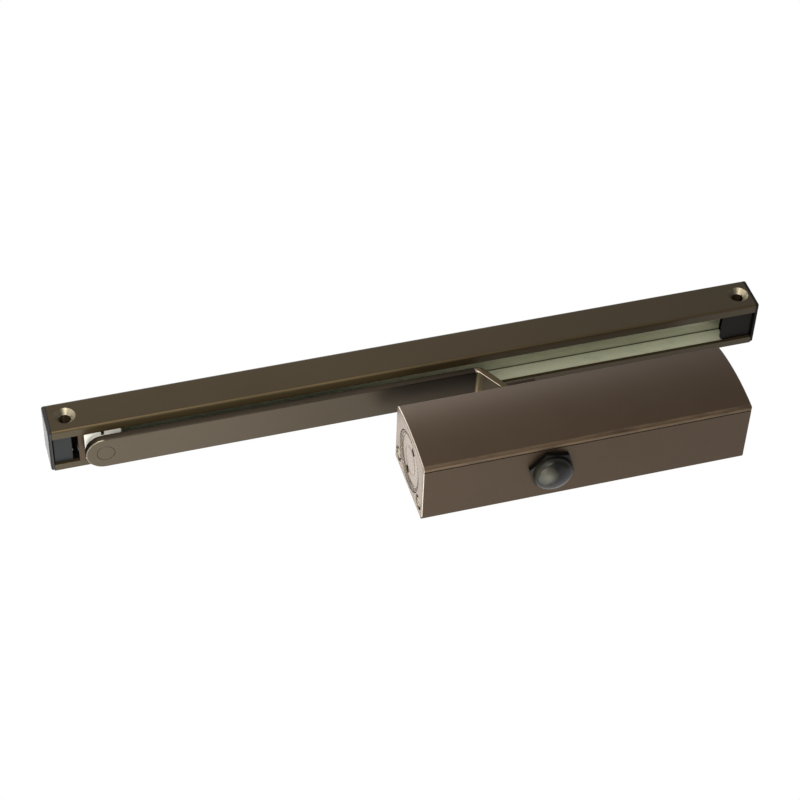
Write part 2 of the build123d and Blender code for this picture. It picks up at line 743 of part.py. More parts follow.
def rail_stop():
    """Stop bar across the slot that the slide block rests against."""
    right_x = stop_left_x + stop_length
    neck = strip(stop_left_x, right_x, rail_front_y + front_lip + seat_fit,
                 rail_back_y - back_lip - seat_fit, rail_z, channel_z + seat_fit)
    wide = strip(stop_left_x, right_x, rail_front_y + rail_wall + seat_fit,
                 rail_back_y - rail_wall - seat_fit, channel_z + seat_fit, web_z - channel_relief - seat_fit)
    return fillet(wide.edges().filter_by(Axis.X), fixing_corner_radius) + neck


def build():
    os.makedirs("parts", exist_ok=True)
    save(housing(), "housing")
    right_x = end_x - plug_bore_length
    flip = Pos(-right_x, bore_y, 0) * Rot(0, -90, 0)
    save(flip * end_plug(), "end_plug_left")
    save(flip * plug_seal(), "plug_seal_left")
    save(along_x(end_plug(), right_x, bore_y, 0), "end_plug_right")
    save(along_x(plug_seal(), right_x, bore_y, 0), "plug_seal_right")
    axis = Pos(spindle_x, spindle_y, 0)
    turn = Rot(0, 0, nut_turn)
    for name, upright in (("upper", Rot(0, 0, 0)), ("lower", Rot(180, 0, 0))):
        start = nut_inner_z - bearing_length
        save(axis * upright * Pos(0, 0, start) * bearing(), "spindle_bearing_" + name)
        save(axis * upright * turn * Pos(0, 0, nut_inner_z) * bearing_nut(), "bearing_nut_" + name)
        save(axis * upright * Pos(0, 0, nut_inner_z + fit_gap) * shaft_seal(), "shaft_seal_" + name)
    save(axis * Rot(180, 0, 0) * Pos(0, 0, nut_outer_z) * spindle_cap(), "spindle_cap")
    save(pinion_spindle(), "pinion_spindle")
    save(rack_piston(), "rack_piston")
    save(piston_rings(), "piston_rings")
    save(check_valve(), "check_valve")
    save(spring_seat(), "spring_seat")
    save(closing_spring(), "closing_spring")
    save(valve_screw(1), "closing_speed_valve")
    save(valve_screw(-1), "latch_speed_valve")
    save(slide_arm(), "slide_arm")
    save(arm_screw(), "arm_screw")
    save(arm_washer(), "arm_washer")
    save(arm_pivot_pin(), "arm_pivot_pin")
    save(pivot_washer(), "pivot_washer")
    save(slide_block(), "slide_block")
    save(guide_rail(), "guide_rail")
    save(rail_end_cap(-1), "rail_end_cap_left")
    save(rail_end_cap(1), "rail_end_cap_right")
    save(rail_fixing(-1, left_fixing_neck, 0, left_fixing_corner), "rail_fixing_left")
    save(rail_fixing(1, right_fixing_neck, right_fixing_set_back, right_fixing_corner),
         "rail_fixing_right")
    save(rail_stop(), "rail_stop")


build()
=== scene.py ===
import bpy
from math import pi, radians
from mathutils import Matrix, Vector


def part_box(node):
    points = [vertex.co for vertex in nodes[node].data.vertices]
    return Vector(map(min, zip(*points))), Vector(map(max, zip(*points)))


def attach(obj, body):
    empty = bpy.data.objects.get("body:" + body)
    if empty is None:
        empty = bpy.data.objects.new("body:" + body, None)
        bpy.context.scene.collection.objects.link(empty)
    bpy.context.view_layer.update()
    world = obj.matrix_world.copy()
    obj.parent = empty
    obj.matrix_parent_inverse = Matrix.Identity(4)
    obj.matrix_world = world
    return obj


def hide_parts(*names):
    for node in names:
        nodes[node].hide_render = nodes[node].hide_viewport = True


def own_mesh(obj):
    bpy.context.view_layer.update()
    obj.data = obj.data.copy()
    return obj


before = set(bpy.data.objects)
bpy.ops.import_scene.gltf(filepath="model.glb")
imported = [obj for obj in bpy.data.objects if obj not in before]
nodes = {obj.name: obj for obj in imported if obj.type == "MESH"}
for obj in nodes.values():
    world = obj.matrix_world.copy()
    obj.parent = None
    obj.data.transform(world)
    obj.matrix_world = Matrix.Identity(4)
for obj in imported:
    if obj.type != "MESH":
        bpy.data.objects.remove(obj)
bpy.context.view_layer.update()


# The photograph's view
# A long lens looks up at the closer from below its left end, so the cap under the spindle,
# the left end and the open side of the rail all show.
view_from = Vector((-0.4286, -1.0841, -0.9556))
view_along = Vector((0.2167, 0.7061, 0.6741)).normalized()
view_up = Vector((0.1771, -0.7074, 0.6841))
view_right = view_along.cross(view_up).normalized()
view_up = view_right.cross(view_along)
camera = bpy.data.objects.new("camera", bpy.data.cameras.new("camera"))
camera.data.sensor_width = 36
camera.data.lens = 100.43
camera.data.clip_end = 50
camera.matrix_world = Matrix.Translation(view_from) @ Matrix(
    (view_right, view_up, -view_along)).transposed().to_4x4()
bpy.context.scene.collection.objects.link(camera)
bpy.context.scene.camera = camera
bpy.context.scene.view_settings.view_transform = "Standard"


# Studio
# A white room far from the closer, large soft lamps and a pale floor well below it, as under a
# door closer that hangs at the head of a door.
world = bpy.data.worlds.new("white_room")
bpy.context.scene.world = world
world.use_nodes = True
room = world.node_tree
room.nodes.clear()
rays = room.nodes.new("ShaderNodeLightPath")
seen = room.nodes.new("ShaderNodeMath")
seen.operation = "MAXIMUM"
seen_or_through = room.nodes.new("ShaderNodeMath")
seen_or_through.operation = "MAXIMUM"
room.links.new(rays.outputs["Is Camera Ray"], seen.inputs[0])
room.links.new(rays.outputs["Is Glossy Ray"], seen.inputs[1])
room.links.new(seen.outputs[0], seen_or_through.inputs[0])
room.links.new(rays.outputs["Is Transmission Ray"], seen_or_through.inputs[1])
fill = room.nodes.new("ShaderNodeBackground")
fill.inputs["Color"].default_value = (1.0, 0.985, 0.96, 1)
fill.inputs["Strength"].default_value = 0.45
backdrop = room.nodes.new("ShaderNodeBackground")
backdrop.inputs["Color"].default_value = (1, 1, 1, 1)
backdrop.inputs["Strength"].default_value = 1.0
either = room.nodes.new("ShaderNodeMixShader")
room.links.new(seen_or_through.outputs[0], either.inputs[0])
room.links.new(fill.outputs[0], either.inputs[1])
room.links.new(backdrop.outputs[0], either.inputs[2])
sky = room.nodes.new("ShaderNodeOutputWorld")
room.links.new(either.outputs[0], sky.inputs["Surface"])

target = Vector((-0.08, -0.03, 0.03))


def soft_lamp(name, towards, distance, size, power, colour):
    """Square area lamp that shines on the closer from one direction."""
    lamp = bpy.data.objects.new(name, bpy.data.lights.new(name, "AREA"))
    lamp.data.size = size
    lamp.data.energy = power
    lamp.data.color = colour
    direction = Vector(towards).normalized()
    lamp.location = target + direction * distance
    lamp.rotation_mode = "QUATERNION"
    lamp.rotation_quaternion = direction.to_track_quat("Z", "Y")
    lamp.visible_camera = False
    bpy.context.scene.collection.objects.link(lamp)


soft_lamp("below_left", (-0.45, 0.02, -0.9), 1.6, 0.75, 10.5, (1.0, 0.99, 0.94))
soft_lamp("low_left", (-0.24, 0.63, -0.7), 1.6, 1.2, 13.5, (0.96, 1.0, 1.0))
soft_lamp("low_right", (0.45, 0.6, -0.7), 1.6, 1.5, 7, (0.94, 0.98, 1.0))
soft_lamp("beside_camera", (-0.32, -0.8, -0.52), 1.6, 0.9, 14, (1.0, 0.97, 0.92))
soft_lamp("overhead", (0.0, -0.3, 0.95), 1.6, 1.1, 8, (0.88, 0.93, 1.0))
soft_lamp("front", (-0.75, -0.85, 0.2), 1.3, 0.9, 5, (1.0, 0.96, 0.92))
soft_lamp("high_behind", (-0.25, 0.7, 0.67), 1.6, 1.0, 6.5, (1.0, 0.96, 0.94))

floor_height = -1.7
bpy.ops.object.select_all(action="DESELECT")
bpy.ops.mesh.primitive_plane_add(size=9, location=(0, 0, floor_height))
floor = bpy.context.object
floor.name = "floor"
floor_paint = bpy.data.materials.new("floor_paint")
floor_paint.use_nodes = True
floor_shader = floor_paint.node_tree.nodes["Principled BSDF"]
floor_shader.inputs["Base Color"].default_value = (0.86, 0.85, 0.83, 1)
floor_shader.inputs["Roughness"].default_value = 0.7
floor.data.materials.append(floor_paint)


# Housing
# The cast aluminium body of the closer, coated in satin dark bronze with fine metal flake.
# The ends are milled before coating, and the four holes in the back are tapped bare. Painted
# light lies in the coat: the milled ends are painted lighter as a reflection, the dome lighter
# to the left and darker to the right, with painted highlights on the left end's rim and along
# the lower front edge.
class Value:
    """A value inside a material. Arithmetic on it adds Math nodes to the material."""

    def __init__(self, tree, socket):
        self.tree, self.socket = tree, socket

    def node(self, kind, settings={}, sockets={}, out=0):
        """Any other node, by its type, its settings and what its sockets hold."""
        made = self.tree.nodes.new("ShaderNode" + kind)
        for name, value in settings.items():
            setattr(made, name, value)
        for name, value in sockets.items():
            if isinstance(value, Value):
                self.tree.links.new(value.socket, made.inputs[name])
            else:
                made.inputs[name].default_value = value
        return Value(self.tree, made.outputs[out])

    def maths(self, operation, first, second=0.0, clamp=False):
        return self.node("Math", {"operation": operation, "use_clamp": clamp},
                         {0: first, 1: second})

    def __add__(self, other):
        return self.maths("ADD", self, other)

    def __sub__(self, other):
        return self.maths("SUBTRACT", self, other)

    def __rsub__(self, other):
        return self.maths("SUBTRACT", other, self)

    def __mul__(self, other):
        return self.maths("MULTIPLY", self, other)

    def __truediv__(self, other):
        return self.maths("DIVIDE", self, other)

    def __pow__(self, other):
        return self.maths("POWER", self, other)

    __radd__, __rmul__ = __add__, __mul__

    def parts(self):
        """The x, y and z of this position, as three values."""
        split = self.node("SeparateXYZ", {}, {"Vector": self}).socket.node
        return [Value(self.tree, socket) for socket in split.outputs]

    def size(self):
        return self.maths("ABSOLUTE", self)

    def clamped(self):
        return self.maths("ADD", self, 0.0, clamp=True)

    def over(self, edge, softness):
        """1 where this value is above an edge and 0 below, blurred over the softness."""
        return ((self - edge) / softness + 0.5).clamped()

    def between(self, low, high, softness):
        return self.over(low, softness) * (1 - self.over(high, softness))

    def noise(self, size, detail=2.0, roughness=0.5):
        """Cloudy noise with features of this size, in metres, read at this position."""
        return self.node("TexNoise", {}, {"Vector": self, "Scale": 1 / size, "Detail": detail,
                                          "Roughness": roughness})

    def cells(self, size):
        """A random grey for each cell of this size, in metres."""
        cell = self.node("TexVoronoi", {}, {"Vector": self, "Scale": 1 / size}, out=1)
        return cell.node("SeparateColor", {}, {"Color": cell})

    def stretched(self, x, y, z):
        return self.node("Mapping", {}, {"Vector": self, "Scale": (x, y, z)})

    def blend(self, dark, light):
        """Colour that goes from dark to light with this value."""
        return self.node("Mix", {"data_type": "RGBA"}, {0: self, 6: dark, 7: light}, out=2)


def srgb(red, green, blue):
    """Colour socket value from the 0 to 255 numbers that a picture shows."""
    return tuple(c / 12.92 if c <= 0.04045 else ((c + 0.055) / 1.055) ** 2.4
                 for c in (red / 255, green / 255, blue / 255)) + (1.0,)


def new_material(name, **constants):
    """Material with one Principled shader. Returns it, its shader and the place on the piece."""
    material = bpy.data.materials.new(name)
    material.use_nodes = True
    tree = material.node_tree
    shader = tree.nodes["Principled BSDF"]
    for socket, value in constants.items():
        shader.inputs[socket.replace("_", " ")].default_value = value
    place = Value(tree, tree.nodes.new("ShaderNodeTexCoord").outputs["Object"])
    return material, shader, place


def dress(shader, colour, roughness, height=None, depth=0.00002, metallic=None):
    """Link what changes over the surface to the shader, relief through one Bump node."""
    tree = colour.tree
    tree.links.new(colour.socket, shader.inputs["Base Color"])
    tree.links.new(roughness.socket, shader.inputs["Roughness"])
    if metallic is not None:
        tree.links.new(metallic.socket, shader.inputs["Metallic"])
    if height is not None:
        relief = height.node("Bump", {}, {"Height": height, "Distance": depth, "Strength": 1.0})
        tree.links.new(relief.socket, shader.inputs["Normal"])


def wear(node, material):
    for slot in nodes[node].material_slots:
        slot.material = material


paint_dark, paint_light = srgb(60, 48, 37), srgb(74, 61, 49)


def bronze_coat(place, dark=paint_dark, light=paint_light):
    """Colour, roughness and relief of the satin bronze coat, with flake and orange peel."""
    cloud = place.noise(0.045, 3.0, 0.6)
    flake = place.cells(0.00028)
    peel = place.noise(0.0011, 2.0, 0.4)
    colour = (cloud * 0.5 + flake * 0.35).blend(dark, light)
    roughness = 0.34 + cloud * 0.1 + flake * 0.06
    return colour, roughness, peel + flake * 0.12


body_half, dome_start, back_start, lower_edge = 0.1135, -0.0445, -0.002, 0.0276
hole_x, hole_z, hole_radius, hole_depth = 0.075, 0.022, 0.0025, 0.012
housing_paint, housing_shader, place = new_material("housing_paint", Metallic=0.94)
colour, roughness, height = bronze_coat(place)
along, across, up = place.parts()
end_face = along.size().over(body_half - 0.0002, 0.0002)
milled = place.stretched(1, 1, 12).noise(0.0016, 2.0, 0.6)
# Painted light and shade: the dome is painted lighter towards the left and darker towards the
# right.
domed = 1 - across.over(dome_start, 0.0015)
rightwards = along.over(0.0, 0.26)
colour = (domed * (1 - rightwards) * 0.4).blend(colour, srgb(86, 72, 58))
colour = (domed * rightwards * 0.22).blend(colour, srgb(44, 34, 25))
# Painted reflection: the milled end faces are painted much lighter, mottled by the milling marks.
colour = (end_face * (0.25 + milled * 0.3)).blend(colour, srgb(150, 132, 112))
# Painted highlight: a thin pale line round the edge of the left end only.
rim = (0 - along).over(body_half - 0.0009, 0.0002) * (1 - end_face)
rim = rim * (1 - across.over(back_start, 0.001))
colour = (rim * 0.85).blend(colour, srgb(216, 203, 188))
# Painted highlight along the lower front edge of the dome, broken up by noise.
lower_edge_highlight = (1 - across.over(dome_start + 0.0005, 0.001)) * (0 - up).over(lower_edge, 0.0006)
lower_edge_highlight = lower_edge_highlight * (1 - end_face)
lower_edge_highlight = lower_edge_highlight * place.stretched(0.2, 1, 1).noise(0.004, 3.0, 0.6).over(0.42, 0.3)
colour = (lower_edge_highlight * 0.35).blend(colour, srgb(122, 102, 80))
roughness = roughness + end_face * (milled * 0.2 - 0.06)
from_hole = ((along.size() - hole_x) ** 2 + (up.size() - hole_z) ** 2) ** 0.5
tapped = (1 - from_hole.over(hole_radius + 0.0001, 0.0001)) * across.over(-hole_depth, 0.0001)
colour = tapped.blend(colour, srgb(168, 166, 160))
dress(housing_shader, colour, roughness, height + end_face * milled * 0.6)
wear("housing", housing_paint)

# The thread's ridge in each tapped hole: a small triangle wound into a screw, made once and
# copied to the four holes.
thread_depth, thread_pitch, thread_turns = 0.00032, 0.001, 10
thread_stretch, thread_bite, thread_start = 1.35, 0.00012, -0.0004
bare_metal, bare_shader, place = new_material("tapped_aluminium", Metallic=1.0)
cut = place.noise(0.0005, 2.0, 0.6)
dress(bare_shader, cut.blend(srgb(120, 118, 113), srgb(182, 180, 174)), 0.32 + cut * 0.2, cut)
bpy.ops.object.select_all(action="DESELECT")
bpy.ops.mesh.primitive_circle_add(vertices=3, radius=thread_depth, fill_type="NOTHING")
thread = bpy.context.object
bpy.ops.object.mode_set(mode="EDIT")
bpy.ops.mesh.select_all(action="SELECT")
bpy.ops.transform.rotate(value=radians(90), orient_axis="X", center_override=(0, 0, 0))
bpy.ops.transform.resize(value=(1, 1, thread_stretch), center_override=(0, 0, 0))
bpy.ops.transform.translate(value=(hole_radius - thread_bite, 0, 0))
bpy.ops.object.mode_set(mode="OBJECT")
wind = thread.modifiers.new("wind", "SCREW")
wind.screw_offset, wind.iterations = thread_pitch, thread_turns
wind.steps = wind.render_steps = 20
bpy.ops.object.modifier_apply(modifier="wind")
bpy.ops.object.shade_smooth_by_angle(angle=radians(35))
thread.rotation_euler = (radians(90), 0, 0)
bpy.ops.object.transform_apply(location=False, rotation=True, scale=False)
thread.data.materials.append(bare_metal)
hole_places = [(x, z) for x in (-hole_x, hole_x) for z in (-hole_z, hole_z)]
for number, (x, z) in enumerate(hole_places):
    bpy.ops.object.select_all(action="DESELECT")
    if number:
        copy = thread.copy()
        copy.data = thread.data.copy()
        bpy.context.scene.collection.objects.link(copy)
        copy.location = (x - first[0], 0, z - first[1])
    else:
        copy, first = thread, (x, z)
        copy.location = (x, thread_start, z)
    copy.name = f"fixing_thread_{number + 1}"
    copy.select_set(True)
    bpy.context.view_layer.objects.active = copy
    bpy.ops.object.transform_apply(location=True, rotation=False, scale=False)
    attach(copy, "closer_body")


# Spindle bearings
# Drawn-steel sleeves pressed into the cross bore, polished where the spindle runs and
# blued by their heat treatment.
def turned_metal(name, dark, light, stretch, roughness, ring=0.0004):
    """Metal with the fine rings that a lathe leaves, close together along one direction."""
    material, shader, place = new_material(name, Metallic=1.0)
    rings = place.stretched(*stretch).noise(ring, 3.0, 0.7)
    cloud = place.noise(0.011, 3.0, 0.55)
    dress(shader, (rings * 0.55 + cloud * 0.45).blend(dark, light),
          roughness + rings * 0.14 + cloud * 0.06, rings, 0.00001)
    return material


round_spindle, round_bore = (0.05, 0.05, 1), (1, 0.05, 0.05)
bearing_steel = turned_metal(
    "bearing_steel", srgb(96, 98, 104), srgb(150, 150, 152), round_spindle, 0.2)
wear("spindle_bearing_upper", bearing_steel)
wear("spindle_bearing_lower", bearing_steel)


# Shaft seals and plug seals
# Moulded rings of black nitrile rubber. They keep the oil in at both ends of the spindle and
# behind both end plugs.
def rubber(name):
    material, shader, place = new_material(name, Metallic=0.0)
    shader.inputs["Specular IOR Level"].default_value = 0.35
    grain = place.noise(0.0004, 2.0, 0.6)
    bloom = place.noise(0.006, 2.0, 0.5)
    dress(shader, (grain * 0.4 + bloom * 0.5).blend(srgb(18, 18, 18), srgb(44, 43, 41)),
          0.6 + grain * 0.2, grain, 0.00002)
    return material


seal_rubber = rubber("seal_rubber")
for node in ("shaft_seal_upper", "shaft_seal_lower", "plug_seal_left", "plug_seal_right"):
    wear(node, seal_rubber)


# Bearing nuts
# Hexagon nuts of blackened steel that close the cross bore. The lower one shows as dark
# corners behind the spindle cap.
nut_steel, nut_shader, place = new_material("nut_steel", Metallic=0.85)
scale_marks = place.noise(0.0035, 4.0, 0.65)
fine = place.noise(0.0004, 2.0, 0.5)
dress(nut_shader, (scale_marks * 0.7 + fine * 0.3).blend(srgb(12, 12, 11), srgb(36, 35, 32)),
      0.34 + scale_marks * 0.2, fine + scale_marks * 0.6, 0.00002)
wear("bearing_nut_upper", nut_steel)
wear("bearing_nut_lower", nut_steel)


# Pinion spindle
# Case-hardened steel with the pinion cut in it. Ground bright on the journals, darker
# between the teeth where the cutter and the oil leave their colour.
spindle_x, spindle_y, pinion_radius, pinion_half = -0.0255, -0.0255, 0.0092, 0.0153
spindle_steel, spindle_shader, place = new_material("spindle_steel", Metallic=1.0)
x, y, z = place.parts()
from_axis = ((x - spindle_x) ** 2 + (y - spindle_y) ** 2) ** 0.5
ground = place.stretched(*round_spindle).noise(0.0003, 3.0, 0.7)
oil = place.noise(0.008, 3.0, 0.6)
tooth_gap = (1 - from_axis.over(pinion_radius, 0.0012)) * (1 - z.size().over(pinion_half, 0.0003))
colour = (ground * 0.5 + oil * 0.4).blend(srgb(116, 115, 112), srgb(186, 185, 181))
dress(spindle_shader, (tooth_gap * 0.65).blend(colour, srgb(70, 62, 50)),
      0.2 + ground * 0.16 + tooth_gap * 0.18, ground, 0.00001)
wear("pinion_spindle", spindle_steel)


# Rack piston and spring seat
# Steel piston, ground outside and milled in the window where the rack's teeth stand, with a
# film of hydraulic oil. The seat for the spring is turned from the same bar.
bore_y, window_radius = -0.0248, 0.0176
piston_steel, piston_shader, place = new_material("piston_steel", Metallic=1.0)
x, y, z = place.parts()
ground = place.stretched(*round_bore).noise(0.00035, 3.0, 0.7)
milled = place.stretched(0.1, 1, 1).noise(0.0006, 3.0, 0.6)
inside = 1 - ((y - bore_y) ** 2 + z ** 2).over(window_radius ** 2, 0.00001)
oil = place.noise(0.009, 3.0, 0.6)
colour = (ground * 0.5 + oil * 0.35).blend(srgb(124, 123, 119), srgb(192, 190, 185))
colour = (inside * (0.3 + milled * 0.5)).blend(colour, srgb(104, 98, 84))
dress(piston_shader, colour, 0.2 + ground * 0.14 + inside * milled * 0.25,
      ground + milled * inside, 0.00001)
wear("rack_piston", piston_steel)
wear("spring_seat",
     turned_metal("seat_steel", srgb(110, 109, 105), srgb(176, 174, 168), round_bore, 0.28))


# Piston rings
# Two moulded slide rings of filled plastic that carry the piston in the bore, slightly
# stained by the oil.
def moulded(name, dark, light, roughness, grain_size=0.0005, specular=0.5):
    """Moulded plastic with a fine spark-eroded grain and faint flow clouds."""
    material, shader, place = new_material(name, Metallic=0.0)
    shader.inputs["Specular IOR Level"].default_value = specular
    grain = place.noise(grain_size, 2.0, 0.6)
    flow = place.noise(0.014, 3.0, 0.5)
    dress(shader, (grain * 0.35 + flow * 0.6).blend(dark, light), roughness + grain * 0.12,
          grain, 0.00002)
    return material


wear("piston_rings", moulded("ring_plastic", srgb(176, 168, 140), srgb(214, 208, 186), 0.42))


# Check valve
# A small brass cartridge screwed into the piston head. It lets the oil back quickly when
# the door opens.
wear("check_valve",
     turned_metal("valve_brass", srgb(150, 112, 52), srgb(214, 176, 100), round_bore, 0.24))


# Closing spring
# Oil-tempered spring steel wire, coiled cold, with the dark scale and the draw lines of the
# wire. The piston presses it together against the right plug as the door opens.
spring_steel, spring_shader, place = new_material("spring_steel", Metallic=0.9)
scale_marks = place.noise(0.0022, 4.0, 0.7)
drawn = place.stretched(8, 1, 1).noise(0.0007, 2.0, 0.6)
dress(spring_shader, (scale_marks * 0.6 + drawn * 0.4).blend(srgb(36, 36, 38), srgb(92, 92, 96)),
      0.32 + scale_marks * 0.2, drawn, 0.00002)
wire_radius, coil_radius, coil_turns, piston_travel = 0.002, 0.014, 8, 0.0283
spring_low, spring_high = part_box("closing_spring")
spring_length = spring_high.x - spring_low.x
bpy.ops.object.select_all(action="DESELECT")
bpy.ops.mesh.primitive_circle_add(vertices=20, radius=wire_radius, fill_type="NOTHING")
spring = bpy.context.object
spring.name = "coiled_spring"
bpy.ops.object.mode_set(mode="EDIT")
bpy.ops.mesh.select_all(action="SELECT")
bpy.ops.transform.rotate(value=radians(90), orient_axis="X", center_override=(0, 0, 0))
bpy.ops.transform.translate(value=(0, 0, -coil_radius))
bpy.ops.object.mode_set(mode="OBJECT")
wind = spring.modifiers.new("wind", "SCREW")
wind.axis = "X"
wind.iterations = coil_turns
wind.screw_offset = (spring_length - 2 * wire_radius) / coil_turns
wind.steps = wind.render_steps = 28
bpy.ops.object.modifier_apply(modifier="wind")
bpy.ops.object.mode_set(mode="EDIT")
bpy.ops.mesh.select_all(action="SELECT")
bpy.ops.mesh.fill_holes(sides=0)
bpy.ops.mesh.select_all(action="SELECT")
bpy.ops.mesh.normals_make_consistent(inside=False)
bpy.ops.object.mode_set(mode="OBJECT")
bpy.ops.object.shade_smooth_by_angle(angle=radians(40))
spring.location = (spring_low.x + wire_radius, (spring_low.y + spring_high.y) / 2, 0)
bpy.ops.object.transform_apply(location=True, rotation=False, scale=False)
spring.data.materials.append(spring_steel)
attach(spring, "closer_body")
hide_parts("closing_spring")
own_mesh(spring)


# End plugs
# Steel plugs screwed into both ends of the bore, coated with the housing. The dished face
# has two spanner holes and a low ridge, and plain raised marks stand round the rim. The face
# is painted lighter as a painted reflection, and the spanner holes are painted dark as shade.
plug_face, dish_depth, dish_radius, rim_inner, rim_outer = 0.1131, 0.0005, 0.0175, 0.0208, 0.022
mark_count, mark_circle, mark_length, mark_width, mark_rise = 50, 0.0193, 0.0018, 0.001, 0.00022
ridge_radius, ridge_half = 0.0102, 0.00014
plug_paint, plug_shader, place = new_material("plug_paint", Metallic=0.94)
colour, roughness, height = bronze_coat(place)
x, y, z = place.parts()
from_axis = ((y - bore_y) ** 2 + z ** 2) ** 0.5
blast = place.noise(0.0007, 3.0, 0.7)
face = x.size().over(plug_face - 0.0012, 0.0003)
rubbed = blast.over(0.56, 0.12) * face
# Painted reflection: the plug faces are painted lighter, mottled by the blasting.
colour = (face * (blast.over(0.5, 0.25) * 0.5 + 0.1)).blend(colour, srgb(170, 154, 134))
mark_ring = from_axis.between(mark_circle - 0.0012, mark_circle + 0.0012, 0.0002)
mark_ring = mark_ring * (1 - x.size().over(plug_face + 0.0001, 0.00006))
colour = (mark_ring * face * 0.42).blend(colour, srgb(64, 54, 44))
rim_line = from_axis.between(rim_inner, rim_outer, 0.0002)
colour = (rim_line * 0.85).blend(colour, srgb(30, 25, 20))
# Painted shade: the spanner holes, sunk below the dished face, are painted near black.
spanner_hole_shade = 1 - x.size().over(plug_face - 0.0009, 0.0002)
spanner_hole_shade = spanner_hole_shade * (1 - from_axis.over(dish_radius, 0.0002))
colour = (spanner_hole_shade * 0.9).blend(colour, srgb(34, 28, 22))
screwed = (1 - x.size().over(plug_face - 0.0011, 0.0001)) * (1 - spanner_hole_shade)
colour = (screwed * 0.85).blend(colour, srgb(140, 138, 132))
dress(plug_shader, colour, roughness + rubbed * 0.08, height + blast * face * 1.1, 0.00004)
wear("end_plug_left", plug_paint)
wear("end_plug_right", plug_paint)

for side, name in ((-1, "plug_marks_left"), (1, "plug_marks_right")):
    face_x, dish_x = side * plug_face, side * (plug_face - dish_depth)
    bpy.ops.object.select_all(action="DESELECT")
    bpy.ops.mesh.primitive_cube_add(
        size=1, location=(face_x + side * mark_rise / 2, bore_y, mark_circle))
    marks = bpy.context.object
    marks.name = name
    marks.scale = (mark_rise * 1.3, mark_width, mark_length)
    bpy.ops.object.transform_apply(location=True, rotation=True, scale=True)
    bpy.ops.object.mode_set(mode="EDIT")
    bpy.ops.mesh.select_all(action="SELECT")
    bpy.ops.mesh.bevel(offset=0.0001, segments=2, affect="EDGES")
    bpy.ops.mesh.select_all(action="SELECT")
    bpy.ops.mesh.spin(steps=mark_count - 1, dupli=True,
                      angle=2 * pi * (mark_count - 1) / mark_count,
                      center=(0, bore_y, 0), axis=(1, 0, 0))
    bpy.ops.object.mode_set(mode="OBJECT")
    bpy.ops.object.select_all(action="DESELECT")
    bpy.ops.mesh.primitive_torus_add(
        major_radius=ridge_radius, minor_radius=ridge_half, major_segments=72, minor_segments=8,
        location=(dish_x, bore_y, 0), rotation=(0, radians(90), 0))
    bpy.ops.object.transform_apply(location=True, rotation=True, scale=True)
    marks.select_set(True)
    bpy.context.view_layer.objects.active = marks
    bpy.ops.object.join()
    bpy.ops.object.shade_smooth_by_angle(angle=radians(40))
    marks.data.materials.append(plug_paint)
    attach(marks, "closer_body")


# Speed valves
# Zinc-plated screws with a slotted head, sunk in round recesses of the left end. Turning
# one opens or closes an oil way. The arm's screw and washer have the same plating.
zinc, zinc_shader, place = new_material("zinc_plate", Metallic=1.0)
spangle = place.cells(0.0009)
haze = place.noise(0.004, 3.0, 0.6)
turned_rings = place.stretched(1, 0.2, 0.2).noise(0.0003, 2.0, 0.6)
dress(zinc_shader, (spangle * 0.35 + haze * 0.6).blend(srgb(118, 110, 88), srgb(172, 165, 142)),
      0.36 + haze * 0.16 + turned_rings * 0.08, turned_rings + spangle * 0.2, 0.00001)
for node in ("closing_speed_valve", "latch_speed_valve", "arm_screw", "arm_washer"):
    wear(node, zinc)


# Spindle cap
# A hollow dome of dark moulded plastic that snaps over the free end of the spindle. Its left
# side is painted paler, with a soft painted highlight spot on it.
cap_top, spot_x, spot_y, spot_radius, spot_fade = -0.039, -0.0312, -0.029, 0.0042, 0.0068
cap_plastic, cap_shader, place = new_material("cap_plastic", Metallic=0.0, Specular_IOR_Level=0.18)
x, y, z = place.parts()
grain = place.noise(0.0006, 2.0, 0.5)
flow = place.noise(0.008, 3.0, 0.6)
handled = 1 - z.over(cap_top, 0.002)
from_spot = ((x - spot_x) ** 2 + (y - spot_y) ** 2) ** 0.5
# Painted highlight: the left side is painted paler, and a soft round spot paler still.
lit_left_side = 1 - x.over(spindle_x - 0.003, 0.005)
painted_highlight_spot = (1 - from_spot.over(spot_radius, spot_fade)) * (grain * 0.3 + flow * 0.3 + 0.7)
colour = (grain * 0.25 + flow * 0.6).blend(srgb(7, 7, 6), srgb(14, 14, 11))
colour = (lit_left_side * 0.35).blend(colour, srgb(58, 57, 48))
colour = (painted_highlight_spot * 0.55).blend(colour, srgb(104, 101, 86))
dress(cap_shader, colour, 0.22 + grain * 0.08 - handled * 0.02, grain + flow * 0.8, 0.00003)
wear("spindle_cap", cap_plastic)


# Slide arm
# Flat steel bar, bent twice near the hub, with its edges eased and the same satin bronze
# coat. Painted highlights lie on the crank, its inner bend, its lower front edge and round the
# end, painted shade darkens it towards the hub, and specks of dust lie on it.
bend_x, bend_z, crank_run, slope_x, slope_z = -0.0487, 0.0558, 0.0147, 0.866, 0.5
arm_front, round_x, round_edge, arm_low = -0.0377, -0.3039, 0.0119, 0.0562
arm_paint, arm_shader, place = new_material("arm_paint", Metallic=0.94)
colour, roughness, height = bronze_coat(place, srgb(58, 50, 40), srgb(71, 63, 53))
dust_spots = place.node("TexVoronoi", {"feature": "F1"}, {"Vector": place, "Scale": 60.0})
dust = (1 - dust_spots.over(0.035, 0.01)) * place.noise(0.03, 2.0, 0.5).over(0.5, 0.1)
rolled = place.stretched(0.04, 1, 1).noise(0.0012, 3.0, 0.6)
x, y, z = place.parts()
from_round = ((x - round_x) ** 2 + (y - spindle_y) ** 2) ** 0.5
# Painted shade: the arm is painted darker towards the hub, beside the housing.
hub_shade = x.over(-0.085, 0.08)
colour = (hub_shade * 0.8).blend(colour, srgb(35, 28, 18))
